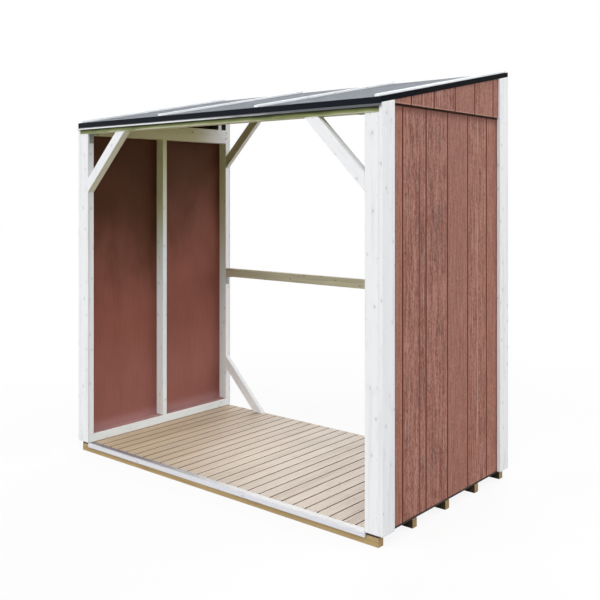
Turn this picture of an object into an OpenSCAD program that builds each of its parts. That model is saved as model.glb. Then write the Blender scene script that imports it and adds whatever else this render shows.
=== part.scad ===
// Log store with a single-pitch felt roof, two grooved side walls and an open front and back.
// Millimetres, Z up. X runs along the width and the front faces minus Y.
// The origin is at ground level, midway between the sides and midway from front to back.

/* [Overall] */
// Width over the wall frames
frame_width = 2200; // [1600:10:2800]
// Depth over the wall frames
frame_depth = 1200; // [900:10:1600]
// Height of the top of the wall frames
wall_top = 1986; // [1600:1:2300]

/* [Floor] */
// Number of floor bearers
bearer_count = 5; // [3:1:7]
// Width of a bearer
bearer_width = 38; // [30:1:60]
// Height of a bearer
bearer_height = 43; // [30:1:60]
// Shift of the inner bearers from even spacing, away from the middle
bearer_spread = 11; // [0:1:40]
// Number of deck boards
deck_count = 29; // [20:1:36]
// Width of a deck board
deck_board = 70; // [50:1:74]
// Thickness of a deck board
deck_thickness = 12; // [9:1:20]
// Set-back of the outer deck boards from the wall frames
deck_inset = 3; // [0:0.5:8]
// Gap between the sill and the ends of the deck boards
deck_end_gap = 3; // [1:0.5:8]
// Height of the lower edge of the sill board
sill_bottom = 32; // [10:1:40]

/* [Wall frames] */
// Depth of a stud across the wall
stud_depth = 65; // [40:1:80]
// Width of a stud along the wall
stud_width = 33; // [24:1:50]
// Height of the bottom plates
bottom_plate_height = 50; // [35:1:70]
// Height of the top plates
top_plate_height = 56; // [35:1:70]
// Height of the gable plates above them
gable_plate_height = 38; // [30:1:70]
// Set-back of the short gable stud from the rear end stud
gable_stud_gap = 41; // [20:1:120]
// Height of the sloping gable top member
gable_rafter = 50; // [35:1:70]

/* [Siding] */
// Thickness of a siding panel
panel_thickness = 9.5; // [6:0.5:15]
// Height of the lower edge of the wall panels
panel_bottom = 62; // [56:1:75]
// Height of the shadow gap between a wall panel and the gable panel above it
seam_gap = 6; // [4:0.5:15]
// Sheet thickness of the seam flashing in that gap
seam_sheet = 1.5; // [1:0.5:2]
// Length by which the seam flashing turns down over the wall panel
seam_drip = 4; // [2:0.5:12]
// Spacing of the siding grooves
groove_pitch = 203.2; // [80:0.1:300]
// Width of a siding groove at the face
groove_width = 9; // [4:0.5:14]
// Depth of a siding groove
groove_depth = 4; // [1:0.5:5]
// Offset of the middle groove of a wall panel
wall_groove_shift = -13; // [-100:1:100]
// Offset of the middle groove of a gable panel
gable_groove_shift = 45; // [-100:1:100]

/* [Corner boards] */
// Thickness of the front and back corner boards
front_trim_thickness = 12; // [8:1:20]
// Thickness of the side corner boards
side_trim_thickness = 20; // [15:1:30]
// Width of the side corner boards
side_trim_width = 99; // [80:1:140]
// Length by which the front corner boards stand past the studs into the opening
trim_overlap = 3; // [0:1:15]
// Height of the lower ends of the corner boards
trim_bottom = 57; // [45:1:65]

/* [Front and back timbers] */
// Height of the underside of the front header
front_header_bottom = 1936; // [1500:1:2200]
// Height of the underside of the back header
back_header_bottom = 2108; // [1700:1:2400]
// Width of a brace, a rail and other cross timbers
timber_width = 58; // [40:1:80]
// Reach of a brace from its corner
brace_reach = 355; // [200:5:500]
// Height of the top of the back rail
rail_top = 1037; // [600:1:1400]

/* [Angle brackets] */
// Length of each leg of an angle bracket
bracket_leg = 56; // [30:1:90]
// Width of an angle bracket
bracket_width = 30; // [20:1:50]
// Sheet thickness of an angle bracket
bracket_sheet = 2; // [1:0.5:4]

/* [Roof] */
// Pitch of the roof in degrees
roof_pitch = 11.06; // [6:0.02:20]
// Height of the roof underside above the front edge of the wall frames
roof_seat = 1993; // [1600:1:2400]
// Thickness of the roof boarding
roof_board = 12; // [9:1:20]
// Thickness of the roofing felt
felt_thickness = 2.5; // [2:0.5:5]
// Overhang of the roof boarding beyond the wall frames at the sides
roof_side_overhang = 23; // [20:1:60]
// Overhang of the roof boarding beyond the wall frames at front and back
roof_end_overhang = 15; // [13:1:60]
// Sheet thickness of the edge flashings
flashing_sheet = 1.5; // [1:0.5:2]
// Width of the top leg of the edge flashings
flashing_top = 12; // [8:1:30]
// Height of the front and back flashing faces
eave_face = 30; // [25:1:60]
// Reach of the drip lip of the front and back flashings
drip_reach = 9; // [4:0.5:15]
// Fall of the drip lip of the front and back flashings
drip_fall = 12; // [0:0.5:20]
// Height of the side flashing faces
verge_face = 25; // [18:1:40]
// Number of roof battens
batten_count = 4; // [2:1:7]
// Width of a roof batten
batten_width = 30; // [20:1:50]
// Height of a roof batten
batten_height = 12; // [8:1:25]
// Set-back of the batten ends from the edge of the roof boarding
batten_inset = 3; // [0:1:20]
// Set-back of the outer battens from the sides of the roof boarding
batten_side_inset = 8; // [0:1:40]

/* [Hidden] */
half_w = frame_width / 2;
half_d = frame_depth / 2;
inner_x = half_w - stud_depth;
panel_x = half_w + panel_thickness;
gable_x = panel_x + panel_thickness;
trim_x = panel_x + side_trim_thickness;
trim_y = half_d + front_trim_thickness;
opening_x = inner_x - trim_overlap;
panel_top = wall_top - seam_gap;
gable_reach = trim_y - side_trim_width;
stud_y = half_d - stud_width;
deck_top = bearer_height + deck_thickness;
deck_half = half_w - deck_inset;
deck_pitch = (2 * deck_half - deck_board) / (deck_count - 1);
sill_x = deck_half - deck_pitch;
stud_foot = deck_top + bottom_plate_height;
stud_head = wall_top - top_plate_height;
gable_foot = wall_top + gable_plate_height;
slope = tan(roof_pitch);
rise = 1 / cos(roof_pitch);
roof_x = half_w + roof_side_overhang;
roof_y = half_d + roof_end_overhang;
board_z = roof_board * rise;
felt_z = felt_thickness * rise;
sheet_z = flashing_sheet * rise;
batten_z = batten_height * rise;
verge_drop = verge_face - board_z - sheet_z;
eps = 0.01;

white = [0.86, 0.87, 0.88];
red = [0.55, 0.36, 0.31];
tan_wood = [0.80, 0.72, 0.62];
bearer_wood = [0.62, 0.52, 0.34];
board_wood = [0.58, 0.52, 0.38];
felt_grey = [0.53, 0.57, 0.60];
black_metal = [0.14, 0.15, 0.18];
zinc = [0.62, 0.64, 0.66];

// Which sub-part to draw

// Height of the roof underside at a distance y from the middle
function seat(y) = roof_seat + (y + half_d) * slope;

// Distance y at which the roof underside has the height z
function seat_y(z) = (z - roof_seat) / slope - half_d;

// Extrude a profile drawn in Y and Z from x0 to x1
module along_x(x0, x1) {
  translate([x0, 0, 0])
    rotate([90, 0, 90])
      linear_extrude(x1 - x0)
        children();
}

// Extrude a profile drawn in X and Z from y0 to y1
module along_y(y0, y1) {
  translate([0, y1, 0])
    rotate([90, 0, 0])
      linear_extrude(y1 - y0)
        children();
}

// Box between two corners
module box(a, b) {
  translate(a)
    cube(b - a);
}

// A right-hand piece and its left-hand twin
module pair() {
  children();
  mirror([1, 0, 0])
    children();
}

// Sloping slab between y0 and y1, from low to high above the roof underside
module slope_profile(y0, y1, low, high) {
  polygon([
    [y0, seat(y0) + low],
    [y1, seat(y1) + low],
    [y1, seat(y1) + high],
    [y0, seat(y0) + high]
  ]);
}

// Shift of bearer i in Y: none for the outer ones and for one in the middle
function bearer_shift(i) =
  i == 0 || i == bearer_count - 1 || 2 * i == bearer_count - 1 ? 0 :
  2 * i < bearer_count - 1 ? -bearer_spread : bearer_spread;

module bearers() {
  bearer_pitch = (frame_depth - bearer_width) / (bearer_count - 1);
  color(bearer_wood)
    for (i = [0 : bearer_count - 1])
      let (y = -half_d + i * bearer_pitch + bearer_shift(i))
        box([-half_w, y, 0], [half_w, y + bearer_width, bearer_height]);
}

module deck_boards() {
  color(tan_wood)
    for (i = [0 : deck_count - 1])
      let (x = -deck_half + i * deck_pitch)
        let (front = i == 0 || i == deck_count - 1 ? -half_d : -stud_y + deck_end_gap)
          box([x, front, bearer_height], [x + deck_board, half_d, deck_top]);
}

module front_sill() {
  color(white)
    union() {
      box([-opening_x, -trim_y, sill_bottom], [opening_x, -half_d, deck_top]);
      box([-sill_x, -half_d, bearer_height], [sill_x, -stud_y, deck_top]);
    }
}

module bottom_plate() {
  box([inner_x, -half_d, deck_top], [half_w, half_d, stud_foot]);
}

module studs() {
  for (y = [-half_d, -stud_width / 2, stud_y])
    box([inner_x, y, stud_foot], [half_w, y + stud_width, stud_head]);
}

module top_plate() {
  box([inner_x, -half_d, stud_head], [half_w, half_d, wall_top]);
}

module groove(x, y, z0, z1) {
  translate([x, y, z0])
    linear_extrude(z1 - z0)
      polygon([
        [eps, -groove_width / 2],
        [eps, groove_width / 2],
        [-groove_depth, groove_width / 4],
        [-groove_depth, -groove_width / 4]
      ]);
}

// Panel profile in Y and Z with upright grooves cut into its outer face at x
module grooved_panel(x, reach, z0, z1, shift) {
  span = floor(reach / groove_pitch);
  difference() {
    along_x(x - panel_thickness, x)
      children();
    for (i = [-span : span])
      let (y = shift + i * groove_pitch)
        if (abs(y) < reach - groove_width)
          groove(x, y, z0 - eps, z1);
  }
}

module wall_panel() {
  grooved_panel(panel_x, half_d, panel_bottom, panel_top + eps, wall_groove_shift)
    translate([-half_d, panel_bottom])
      square([frame_depth, panel_top - panel_bottom]);
}

// Folded strip on the upper edge of a wall panel, below the gable panel
module seam_flashing() {
  along_y(-gable_reach, gable_reach)
    polygon([
      [half_w, wall_top],
      [half_w, panel_top],
      [panel_x, panel_top],
      [panel_x, panel_top - seam_drip],
      [panel_x + seam_sheet, panel_top - seam_drip],
      [panel_x + seam_sheet, panel_top + seam_sheet],
      [half_w + seam_sheet, panel_top + seam_sheet],
      [half_w + seam_sheet, wall_top]
    ]);
}

module gable_plate() {
  cut_y = seat_y(gable_foot);
  along_x(inner_x, panel_x)
    polygon([
      [-half_d, wall_top],
      [half_d, wall_top],
      [half_d, gable_foot],
      [cut_y, gable_foot],
      [-half_d, seat(-half_d)]
    ]);
}

module gable_rafter_member() {
  drop = gable_rafter * rise;
  along_x(inner_x, panel_x)
    polygon([
      [seat_y(gable_foot), gable_foot],
      [seat_y(gable_foot + drop), gable_foot],
      [half_d, seat(half_d) - drop],
      [half_d, seat(half_d)]
    ]);
}

module gable_studs() {
  drop = gable_rafter * rise;
  for (y = [stud_y - gable_stud_gap - stud_width, stud_y])
    along_x(inner_x, panel_x)
      polygon([
        [y, gable_foot],
        [y + stud_width, gable_foot],
        [y + stud_width, seat(y + stud_width) - drop],
        [y, seat(y) - drop]
      ]);
}

module gable_panel() {
  grooved_panel(gable_x, gable_reach, wall_top, seat(gable_reach) + eps, gable_groove_shift)
    polygon([
      [-gable_reach, wall_top],
      [gable_reach, wall_top],
      [gable_reach, seat(gable_reach)],
      [-gable_reach, seat(-gable_reach)]
    ]);
}

module front_trim() {
  box([opening_x, -trim_y, trim_bottom], [panel_x, -half_d, front_header_bottom]);
}

module back_trim() {
  along_x(inner_x, panel_x)
    polygon([
      [half_d, trim_bottom],
      [trim_y, trim_bottom],
      [trim_y, seat(trim_y)],
      [half_d, seat(half_d)]
    ]);
}

module side_trims() {
  for (y = [-trim_y, trim_y - side_trim_width])
    along_x(panel_x, trim_x)
      polygon([
        [y, trim_bottom],
        [y + side_trim_width, trim_bottom],
        [y + side_trim_width, seat(y + side_trim_width) - verge_drop],
        [y, seat(y) - verge_drop]
      ]);
}

module front_header() {
  color(white)
    along_x(-inner_x, inner_x)
      polygon([
        [-half_d, front_header_bottom],
        [-stud_y, front_header_bottom],
        [-stud_y, seat(-stud_y)],
        [-half_d, seat(-half_d)]
      ]);
}

module front_fascia() {
  color(white)
    box([-panel_x, -trim_y, front_header_bottom], [panel_x, -half_d, seat(-trim_y)]);
}

module back_header() {
  color(white)
    along_x(-inner_x, inner_x)
      polygon([
        [stud_y, back_header_bottom],
        [half_d, back_header_bottom],
        [half_d, seat(half_d)],
        [stud_y, seat(stud_y)]
      ]);
}

module back_rail() {
  color(white)
    box([-inner_x, stud_y, rail_top - timber_width], [inner_x, half_d, rail_top]);
}

// Brace profile in the corner of a post at inner_x; up is 1 below a header and -1 above a floor
module brace_profile(z, up) {
  near = brace_reach - timber_width * sqrt(2);
  polygon([
    [inner_x, z - up * brace_reach],
    [inner_x - brace_reach, z],
    [inner_x - near, z],
    [inner_x, z - up * near]
  ]);
}

module front_braces() {
  color(white)
    pair()
      difference() {
        along_y(-trim_y, -stud_y)
          brace_profile(front_header_bottom, 1);
        box([opening_x, -trim_y - eps, 0], [half_w, -half_d, front_header_bottom]);
      }
}

module back_upper_braces() {
  color(white)
    pair()
      along_y(stud_y, half_d)
        brace_profile(back_header_bottom, 1);
}

module back_lower_braces() {
  color(white)
    pair()
      along_y(stud_y, half_d)
        brace_profile(deck_top, -1);
}

// Folded bracket in the corner between a post face at inner_x and the timber above it
module bracket(y, z) {
  along_y(y - bracket_width / 2, y + bracket_width / 2)
    polygon([
      [inner_x, z],
      [inner_x - bracket_leg, z],
      [inner_x - bracket_leg, z - bracket_sheet],
      [inner_x - bracket_sheet, z - bracket_sheet],
      [inner_x - bracket_sheet, z - bracket_leg],
      [inner_x, z - bracket_leg]
    ]);
}

module angle_brackets() {
  middle = half_d - stud_width / 2;
  color(zinc)
    pair() {
      bracket(-middle, front_header_bottom);
      bracket(middle, rail_top - timber_width);
    }
}

module roof_boarding() {
  color(board_wood)
    along_x(-roof_x, roof_x)
      slope_profile(-roof_y, roof_y, 0, board_z);
}

module roof_felt() {
  color(felt_grey)
    along_x(-roof_x + flashing_top, roof_x - flashing_top)
      slope_profile(-roof_y + flashing_top, roof_y - flashing_top, board_z, board_z + felt_z);
}

// Folded drip profile on the edge of the roof at y; out is -1 at the front and 1 at the back
module drip_profile(y, out) {
  top = seat(y) + board_z;
  back = y - out * flashing_top;
  face = y + out * flashing_sheet;
  low = top + sheet_z - eave_face;
  polygon([
    [back, seat(back) + board_z],
    [y, top],
    [y, low],
    [face + out * drip_reach, low - drip_fall],
    [face + out * drip_reach, low - drip_fall + flashing_sheet],
    [face, low + flashing_sheet],
    [face, top + sheet_z],
    [back, seat(back) + board_z + sheet_z]
  ]);
}

module front_flashing() {
  color(black_metal)
    along_x(-roof_x, roof_x)
      drip_profile(-roof_y, -1);
}

module back_flashing() {
  color(black_metal)
    along_x(-roof_x, roof_x)
      drip_profile(roof_y, 1);
}

module verge() {
  end = roof_y + flashing_sheet;
  inner_end = roof_y - flashing_top;
  union() {
    along_x(roof_x, roof_x + flashing_sheet)
      slope_profile(-end, end, -verge_drop, board_z + sheet_z);
    along_x(roof_x - flashing_top, roof_x)
      slope_profile(-inner_end, inner_end, board_z, board_z + sheet_z);
  }
}

module roof_battens() {
  first = -roof_x + batten_side_inset + batten_width / 2;
  pitch = -2 * first / (batten_count - 1);
  end = roof_y - batten_inset;
  color(white)
    for (i = [0 : batten_count - 1])
      let (x = first + i * pitch)
        along_x(x - batten_width / 2, x + batten_width / 2)
          slope_profile(-end, end, board_z + felt_z, board_z + felt_z + batten_z);
}

module right_bottom_plate() {
  color(white)
    bottom_plate();
}

module left_bottom_plate() {
  mirror([1, 0, 0])
    right_bottom_plate();
}

module right_studs() {
  color(white)
    studs();
}

module left_studs() {
  mirror([1, 0, 0])
    right_studs();
}

module right_top_plate() {
  color(white)
    top_plate();
}

module left_top_plate() {
  mirror([1, 0, 0])
    right_top_plate();
}

module right_wall_panel() {
  color(red)
    wall_panel();
}

module left_wall_panel() {
  mirror([1, 0, 0])
    right_wall_panel();
}

module right_seam_flashing() {
  color(black_metal)
    seam_flashing();
}

module left_seam_flashing() {
  mirror([1, 0, 0])
    right_seam_flashing();
}

module right_gable_plate() {
  color(white)
    gable_plate();
}

module left_gable_plate() {
  mirror([1, 0, 0])
    right_gable_plate();
}

module right_gable_studs() {
  color(white)
    gable_studs();
}

module left_gable_studs() {
  mirror([1, 0, 0])
    right_gable_studs();
}

module right_gable_rafter() {
  color(white)
    gable_rafter_member();
}

module left_gable_rafter() {
  mirror([1, 0, 0])
    right_gable_rafter();
}

module right_gable_panel() {
  color(red)
    gable_panel();
}

module left_gable_panel() {
  mirror([1, 0, 0])
    right_gable_panel();
}

module right_front_trim() {
  color(white)
    front_trim();
}

module left_front_trim() {
  mirror([1, 0, 0])
    right_front_trim();
}

module right_back_trim() {
  color(white)
    back_trim();
}

module left_back_trim() {
  mirror([1, 0, 0])
    right_back_trim();
}

module right_side_trims() {
  color(white)
    side_trims();
}

module left_side_trims() {
  mirror([1, 0, 0])
    right_side_trims();
}

module right_verge() {
  color(black_metal)
    verge();
}

module left_verge() {
  mirror([1, 0, 0])
    right_verge();
}

bearers();
deck_boards();
front_sill();
left_bottom_plate();
right_bottom_plate();
left_studs();
right_studs();
left_top_plate();
right_top_plate();
left_wall_panel();
right_wall_panel();
left_seam_flashing();
right_seam_flashing();
left_gable_plate();
right_gable_plate();
left_gable_studs();
right_gable_studs();
left_gable_rafter();
right_gable_rafter();
left_gable_panel();
right_gable_panel();
left_front_trim();
right_front_trim();
left_back_trim();
right_back_trim();
left_side_trims();
right_side_trims();
front_header();
front_fascia();
back_header();
back_rail();
front_braces();
back_upper_braces();
back_lower_braces();
angle_brackets();
roof_boarding();
roof_felt();
front_flashing();
back_flashing();
left_verge();
right_verge();
roof_battens();
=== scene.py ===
"""Looks of an open log store: painted frames, grooved siding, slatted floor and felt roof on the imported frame."""

import logging
import math
import random
from dataclasses import dataclass
from enum import Enum
from functools import lru_cache
from typing import Callable, NamedTuple, Optional, Protocol, Sequence

import bmesh
import bpy
from mathutils import Matrix, Vector


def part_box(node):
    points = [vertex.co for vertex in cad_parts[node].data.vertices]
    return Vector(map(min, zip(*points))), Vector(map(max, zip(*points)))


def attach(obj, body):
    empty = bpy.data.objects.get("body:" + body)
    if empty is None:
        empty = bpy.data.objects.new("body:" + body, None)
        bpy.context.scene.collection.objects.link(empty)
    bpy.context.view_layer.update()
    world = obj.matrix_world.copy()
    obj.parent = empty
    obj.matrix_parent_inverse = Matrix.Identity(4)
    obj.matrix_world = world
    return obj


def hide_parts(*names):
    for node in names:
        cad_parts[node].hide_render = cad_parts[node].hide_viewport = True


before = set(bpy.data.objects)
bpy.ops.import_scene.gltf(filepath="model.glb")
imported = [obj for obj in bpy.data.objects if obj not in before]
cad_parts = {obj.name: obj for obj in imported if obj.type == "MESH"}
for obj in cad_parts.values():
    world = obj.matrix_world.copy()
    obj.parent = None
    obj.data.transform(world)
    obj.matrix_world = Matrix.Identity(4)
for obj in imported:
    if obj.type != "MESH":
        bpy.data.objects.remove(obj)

LOG = logging.getLogger("log_store")
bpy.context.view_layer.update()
BODY = "root"
GRAIN_MAP = "grain"
TONE = "tone"
END = "end_grain"
NAIL_SIDES = 8

# Metres between points that become one, and degrees between faces that count as one flat face.
MERGE_DISTANCE, FLAT_ANGLE = 1e-5, 0.4

# Range that holds most values of a noise pattern.
NOISE_LOW, NOISE_HIGH = 0.3, 0.7

# How far a face's normal has to lean along an axis for the face to count as looking that way.
LEANING, FACING, STEEP, CROSSWISE, LEVEL = 0.4, 0.5, 0.6, 0.8, 0.9

Colour = tuple[float, float, float]
Scale = tuple[float, float, float]
Socket = bpy.types.NodeSocket
Face = bmesh.types.BMFace
Pick = Callable[[Face], int]


class Side(Enum):
    """The two mirrored side walls."""

    LEFT = "left"
    RIGHT = "right"

    @property
    def sign(self) -> float:
        """Direction of the side along X."""
        return -1.0 if self is Side.LEFT else 1.0

    def of(self, part: str) -> str:
        """Name of a part on this side."""
        return f"{self.value}_{part}"


class Layer(NamedTuple):
    """A noise pattern: stretch along each axis, cells per unit, number and share of finer layers, waviness."""

    stretch: Optional[Scale] = None
    scale: float = 1.0
    detail: float = 4.0
    roughness: float = 0.55
    distortion: float = 0.0


class Ramp(NamedTuple):
    """A smooth step from one result to another over a range of a value."""

    low: float
    high: float
    start: float = 0.0
    stop: float = 1.0


class Bump(NamedTuple):
    """Strength of a relief, and its depth in metres."""

    strength: float
    depth: float


def mid(start: float, stop: float) -> Ramp:
    """Ramp over the middle of a noise pattern."""
    return Ramp(NOISE_LOW, NOISE_HIGH, start, stop)


class Nodes:
    """A node tree, with short calls that add a node and join it up."""

    def __init__(self, tree: bpy.types.NodeTree) -> None:
        """Empty the tree."""
        self.tree = tree
        tree.nodes.clear()

    def add(self, kind: str, inputs: Optional[dict] = None, **settings: object) -> bpy.types.Node:
        """Add a node.

        Args:
            kind: Type name of the node.
            inputs: What each input gets, by name or number.
            **settings: Properties to set on it.

        Returns:
            The new node.
        """
        node = self.tree.nodes.new(kind)
        for key, value in settings.items():
            setattr(node, key, value)
        for key, value in (inputs or {}).items():
            self.feed(node.inputs[key], value)
        return node

    def feed(self, socket: Socket, value: object) -> None:
        """Link a socket to an output, or set its value.

        Args:
            socket: Input that takes the value.
            value: An output socket, a number or a tuple.
        """
        if isinstance(value, Socket):
            self.tree.links.new(value, socket)
        elif isinstance(value, tuple) and socket.type == "RGBA":
            socket.default_value = (*value[:3], 1.0)
        else:
            socket.default_value = value

    def place(self) -> Socket:
        """Position on the object, in metres."""
        return self.add("ShaderNodeTexCoord").outputs["Object"]

    def axis(self, vector: Socket, name: str) -> Socket:
        """One coordinate of a position, X, Y or Z."""
        return self.add("ShaderNodeSeparateXYZ", {"Vector": vector}).outputs[name]

    def calc(self, operation: str, a: object, b: object = 0.0) -> Socket:
        """Arithmetic on two values."""
        return self.add("ShaderNodeMath", {0: a, 1: b}, operation=operation).outputs["Value"]

    def plus(self, a: object, b: object) -> Socket:
        """Sum of two values."""
        return self.calc("ADD", a, b)

    def times(self, a: object, b: object) -> Socket:
        """Product of two values."""
        return self.calc("MULTIPLY", a, b)

    def gap(self, a: object, b: object) -> Socket:
        """Distance between two values."""
        return self.calc("ABSOLUTE", self.calc("SUBTRACT", a, b))

    def blend(self, share: object, first: Socket, second: Socket) -> Socket:
        """Mix two shaders by the share of the second."""
        return self.add("ShaderNodeMixShader", {"Fac": share, 1: first, 2: second}).outputs["Shader"]


class Shader(Nodes):
    """Node tree of one material."""

    def __init__(self, name: str) -> None:
        """Start an empty surface.

        Args:
            name: Name of the material.
        """
        self.material = bpy.data.materials.new(name)
        self.material.use_nodes = True
        super().__init__(self.material.node_tree)
        self.surface = self.add("ShaderNodeBsdfPrincipled")
        self.add("ShaderNodeOutputMaterial", {"Surface": self.surface.outputs["BSDF"]})

    def grain(self) -> Socket:
        """Position along and across the grain of a board, in metres."""
        return self.add("ShaderNodeUVMap", uv_map=GRAIN_MAP).outputs["UV"]

    def layer(self, name: str) -> Socket:
        """Number stored on each face under a name."""
        return self.add("ShaderNodeAttribute", attribute_name=name).outputs["Fac"]

    def stretch(self, vector: Socket, scale: Scale) -> Socket:
        """Scale a position along each axis."""
        return self.add("ShaderNodeMapping", {"Vector": vector, "Scale": scale}).outputs["Vector"]

    def noise(self, vector: Socket, layer: Layer) -> Socket:
        """Soft random pattern between 0 and 1.

        Args:
            vector: Position.
            layer: Sizes of the pattern.

        Returns:
            The pattern's value.
        """
        if layer.stretch:
            vector = self.stretch(vector, layer.stretch)
        sizes = zip(("Scale", "Detail", "Roughness", "Distortion"), layer[1:])
        return self.add("ShaderNodeTexNoise", {"Vector": vector, **dict(sizes)}).outputs["Fac"]

    def cells(self, vector: Socket, scale: float = 1.0, flat: bool = False) -> tuple[Socket, Socket]:
        """Scattered cells.

        Args:
            vector: Position.
            scale: Cells per unit.
            flat: Whether the cells lie in the plane of the first two axes.

        Returns:
            Distance to the nearest cell's middle, and that cell's random colour.
        """
        sizes = {"Vector": vector, "Scale": scale}
        node = self.add("ShaderNodeTexVoronoi", sizes, voronoi_dimensions="2D" if flat else "3D")
        return node.outputs["Distance"], node.outputs["Color"]

    def ramp(self, value: object, ramp: Ramp) -> Socket:
        """Map a value smoothly from one range to another, held at the ends."""
        ends = dict(zip(("From Min", "From Max", "To Min", "To Max"), ramp))
        return self.add("ShaderNodeMapRange", {"Value": value, **ends}, interpolation_type="SMOOTHSTEP").outputs[0]

    def weigh(self, values: Sequence[Socket], weights: Sequence[float]) -> Socket:
        """Add values up, each times its weight.

        Args:
            values: Values to add.
            weights: Weight of each value.

        Returns:
            The sum.
        """
        total, *others = (self.times(value, weight) for value, weight in zip(values, weights))
        for part in others:
            total = self.plus(total, part)
        return total

    def mix(self, share: object, a: object, b: object, blend: str = "MIX") -> Socket:
        """Mix two colours by the share of the second; a mix node has its colour inputs at 6 and 7, its output at 2."""
        return self.add("ShaderNodeMix", {0: share, 6: a, 7: b}, data_type="RGBA", blend_type=blend).outputs[2]

    def tint(self, share: object, colour: object, factor: object) -> Socket:
        """Multiply a colour by another one, up to a share."""
        return self.mix(share, colour, self.mix(1.0, colour, factor, "MULTIPLY"))

    def over(self, colour: object, *coats: tuple[object, Ramp, Colour]) -> object:
        """Lay coats over a colour, one after the other.

        Args:
            colour: Colour below the coats.
            *coats: Pattern of each coat, the ramp that turns it into a share, and the coat's colour.

        Returns:
            The colour with its coats.
        """
        for pattern, ramp, coat in coats:
            colour = self.mix(self.ramp(pattern, ramp), colour, coat)
        return colour

    def joined(self, value: object) -> Socket:
        """The same value on all three axes."""
        return self.add("ShaderNodeCombineXYZ", {0: value, 1: value, 2: value}).outputs["Vector"]

    def finish(self, colour: object, roughness: object, height: Socket, bump: Bump, metallic: float = 0.0,
               specular: float = 0.5) -> bpy.types.Material:
        """Join the surface up.

        Args:
            colour: Base colour.
            roughness: Roughness.
            height: Relief pattern.
            bump: Strength and depth of the relief.
            metallic: 1 for bare metal.
            specular: Strength of the gloss.

        Returns:
            The finished material.
        """
        relief = self.add("ShaderNodeBump", {"Strength": bump.strength, "Distance": bump.depth, "Height": height})
        for key, value in (("Base Color", colour), ("Roughness", roughness), ("Metallic", metallic),
                           ("Specular IOR Level", specular), ("Normal", relief.outputs["Normal"])):
            self.feed(self.surface.inputs[key], value)
        return self.material


@dataclass(frozen=True)
class WhitePaint:
    """White paint on softwood: faint grain, small grey knots, and a warm painted shade higher up that clears to the
    back.
    """

    name: str = "white_paint"
    colour: Colour = (0.815, 0.825, 0.835)
    streak: Colour = (0.63, 0.645, 0.665)
    knot: Colour = (0.34, 0.335, 0.33)
    roof_shade: Colour = (0.80, 0.74, 0.36)
    roof_shade_rise: Optional[Ramp] = None
    roof_shade_clear: Ramp = Ramp(5.0, 6.0, 1.0, 0.0)
    roof_shade_patch: Layer = Layer((1.2, 9.0, 1.0), detail=2.0)
    roof_shade_wander: Ramp = mid(-0.12, 0.12)
    fine: Layer = Layer((5.0, 260.0, 1.0), detail=5.0)
    broad: Layer = Layer((1.6, 34.0, 1.0), detail=3.0, distortion=0.4)
    cloud: Layer = Layer((6.0, 14.0, 1.0), detail=3.0)
    broad_share: Ramp = Ramp(0.50, 0.74, 0.0, 0.50)
    fine_share: Ramp = Ramp(0.52, 0.80, 0.0, 0.40)
    cloud_share: Ramp = Ramp(0.55, 0.80, 0.0, 0.45)
    knot_grid: Scale = (9.0, 14.0, 1.0)
    knot_chosen: Ramp = Ramp(0.30, 0.35)
    knot_tone: Ramp = Ramp(0.0, 1.0, 0.4, 1.0)
    knot_core: Ramp = Ramp(0.05, 0.09, 1.0, 0.0)
    knot_halo: Ramp = Ramp(0.06, 0.25, 0.15, 0.0)
    knot_share: float = 0.45
    relief: tuple[float, ...] = (0.6, 0.4)
    bump: Bump = Bump(0.22, 0.0008)
    gloss: Ramp = mid(0.48, 0.62)
    specular: float = 0.35

    def material(self) -> bpy.types.Material:
        """Build the paint's material."""
        s = Shader(self.name)
        grain = s.grain()
        fine, broad, cloud = (s.noise(grain, layer) for layer in (self.fine, self.broad, self.cloud))
        colour = s.over(self.colour, (broad, self.broad_share, self.streak), (fine, self.fine_share, self.streak),
                        (cloud, self.cloud_share, self.streak))
        distance, pick = s.cells(s.stretch(grain, self.knot_grid), flat=True)
        chosen = s.times(s.ramp(s.axis(pick, "X"), self.knot_chosen), s.ramp(s.axis(pick, "Y"), self.knot_tone))
        spot = s.calc("MAXIMUM", s.ramp(distance, self.knot_core), s.ramp(distance, self.knot_halo))
        colour = s.mix(s.times(s.times(chosen, spot), self.knot_share), colour, self.knot)
        # Painted shade: the white turns olive higher up, as under the roof, and clears towards the back.
        if self.roof_shade_rise:
            place = s.place()
            height = s.plus(s.axis(place, "Z"), s.ramp(s.noise(grain, self.roof_shade_patch), self.roof_shade_wander))
            clear = s.ramp(s.axis(place, "Y"), self.roof_shade_clear)
            colour = s.tint(s.times(s.ramp(height, self.roof_shade_rise), clear), colour, self.roof_shade)
        relief = s.weigh((fine, broad), self.relief)
        return s.finish(colour, s.ramp(fine, self.gloss), relief, self.bump, specular=self.specular)


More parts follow.
